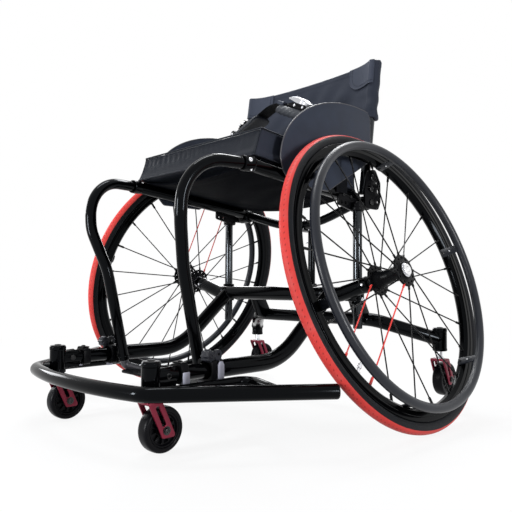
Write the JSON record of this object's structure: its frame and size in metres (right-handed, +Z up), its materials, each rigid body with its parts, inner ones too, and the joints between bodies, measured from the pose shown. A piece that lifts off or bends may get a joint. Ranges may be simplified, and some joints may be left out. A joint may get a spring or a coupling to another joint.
{
  "type": "basketball wheelchair",
  "caption": "Basketball wheelchair with cambered spoked wheels, hand rims, a bowed front bumper, four casters, a padded seat and a low backrest.",
  "frame": {"origin": "on the floor, at the middle of the chair's outline seen from above", "axes": "+Z up, +X to the chair's own left, -Y towards its front"},
  "size_m": [0.8806, 0.8346, 0.7895],
  "materials": {
    "gloss_black": "gloss black paint",
    "satin_black": "satin black anodised",
    "crimson": "crimson anodised, satin",
    "bright_steel": "bright",
    "red_tyre": "matte rubber",
    "caster_rubber": "smooth polyurethane",
    "webbing": "woven webbing",
    "black_fabric": "coated cloth"
  },
  "bodies": {
    "frame": {"camber_tube": "gloss_black", "rear_bar": "gloss_black", "wing_bumper": "gloss_black", "seat_cross_tube": "gloss_black", "side_tube_left": "gloss_black", "front_loop_left": "gloss_black", "seat_rail_left": "gloss_black", "height_post_left": "gloss_black", "side_tube_right": "gloss_black", "front_loop_right": "gloss_black", "seat_rail_right": "gloss_black", "height_post_right": "gloss_black", "footplate": "satin_black", "centre_strut": "satin_black", "front_slider_left": "satin_black", "slider_clamp_left": "satin_black", "strap_clamp_left": "satin_black", "back_bracket_left": "satin_black", "side_guard_left": "satin_black", "front_slider_right": "satin_black", "slider_clamp_right": "satin_black", "strap_clamp_right": "satin_black", "back_bracket_right": "satin_black", "side_guard_right": "satin_black", "axle_left": "bright_steel", "lap_belt_left": "webbing", "axle_right": "bright_steel", "lap_belt_right": "webbing", "seat_sling": "black_fabric", "cushion": "black_fabric"},
    "drive_wheel_left": {"tyre_left": "red_tyre", "rim_left": "gloss_black", "hub_with_spokes_left": "satin_black", "hub_bearings_left": "bright_steel", "pushrim_left": "satin_black"},
    "axle_button_left": {"axle_button_left": "bright_steel"},
    "drive_wheel_right": {"tyre_right": "red_tyre", "rim_right": "gloss_black", "hub_with_spokes_right": "satin_black", "hub_bearings_right": "bright_steel", "pushrim_right": "satin_black"},
    "axle_button_right": {"axle_button_right": "bright_steel"},
    "caster_fork_front_left": {"fork_front_left": "crimson"},
    "caster_wheel_front_left": {"caster_wheel_front_left": "caster_rubber", "caster_axle_front_left": "bright_steel"},
    "caster_fork_front_right": {"fork_front_right": "crimson"},
    "caster_wheel_front_right": {"caster_wheel_front_right": "caster_rubber", "caster_axle_front_right": "bright_steel"},
    "caster_fork_rear_left": {"fork_rear_left": "crimson"},
    "caster_wheel_rear_left": {"caster_wheel_rear_left": "caster_rubber", "caster_axle_rear_left": "bright_steel"},
    "caster_fork_rear_right": {"fork_rear_right": "crimson"},
    "caster_wheel_rear_right": {"caster_wheel_rear_right": "caster_rubber", "caster_axle_rear_right": "bright_steel"},
    "backrest": {"back_post_left": "gloss_black", "back_post_right": "gloss_black", "back_upholstery": "black_fabric"},
    "buckle_lever": {"buckle_lever": "bright_steel"}
  },
  "joints": [
    {"name": "drive_wheel_spin_left", "type": "hinge", "parent": "frame", "child": "drive_wheel_left", "pos_m": [0.316, 0.11525, 0.29125], "axis": [0.953, 0, 0.3029], "continuous": true},
    {"name": "axle_button_press_left", "type": "slide", "parent": "frame", "child": "axle_button_left", "axis": [-0.953, 0, -0.3029], "range_m": [0, 0.003], "stiffness_N_per_m": 600, "springref_m": -0.004},
    {"name": "drive_wheel_spin_right", "type": "hinge", "parent": "frame", "child": "drive_wheel_right", "pos_m": [-0.316, 0.11525, 0.29125], "axis": [-0.953, 0, 0.3029], "continuous": true},
    {"name": "axle_button_press_right", "type": "slide", "parent": "frame", "child": "axle_button_right", "axis": [0.953, 0, -0.3029], "range_m": [0, 0.003], "stiffness_N_per_m": 600, "springref_m": -0.004},
    {"name": "caster_swivel_front_left", "type": "hinge", "parent": "frame", "child": "caster_fork_front_left", "pos_m": [0.162, -0.34475, 0.095], "axis": [0, 0, 1], "continuous": true},
    {"name": "caster_spin_front_left", "type": "hinge", "parent": "caster_fork_front_left", "child": "caster_wheel_front_left", "pos_m": [0.162, -0.32475, 0.038], "axis": [1, 0, 0], "continuous": true},
    {"name": "caster_swivel_front_right", "type": "hinge", "parent": "frame", "child": "caster_fork_front_right", "pos_m": [-0.162, -0.34475, 0.095], "axis": [0, 0, 1], "continuous": true},
    {"name": "caster_spin_front_right", "type": "hinge", "parent": "caster_fork_front_right", "child": "caster_wheel_front_right", "pos_m": [-0.162, -0.32475, 0.038], "axis": [1, 0, 0], "continuous": true},
    {"name": "caster_swivel_rear_left", "type": "hinge", "parent": "frame", "child": "caster_fork_rear_left", "pos_m": [0.294, 0.35725, 0.115], "axis": [0, 0, 1], "continuous": true},
    {"name": "caster_spin_rear_left", "type": "hinge", "parent": "caster_fork_rear_left", "child": "caster_wheel_rear_left", "pos_m": [0.294, 0.37725, 0.058], "axis": [1, 0, 0], "continuous": true},
    {"name": "caster_swivel_rear_right", "type": "hinge", "parent": "frame", "child": "caster_fork_rear_right", "pos_m": [-0.294, 0.35725, 0.115], "axis": [0, 0, 1], "continuous": true},
    {"name": "caster_spin_rear_right", "type": "hinge", "parent": "caster_fork_rear_right", "child": "caster_wheel_rear_right", "pos_m": [-0.294, 0.37725, 0.058], "axis": [1, 0, 0], "continuous": true},
    {"name": "backrest_tilt", "type": "hinge", "parent": "frame", "child": "backrest", "pos_m": [0, 0.20625, 0.512], "axis": [-1, 0, 0], "range_deg": [0, 12]},
    {"name": "buckle_lever_lift", "type": "hinge", "parent": "frame", "child": "buckle_lever", "pos_m": [0.10285, 0.11525, 0.6741], "axis": [0, 1, 0], "range_deg": [0, 70]}
  ]
}
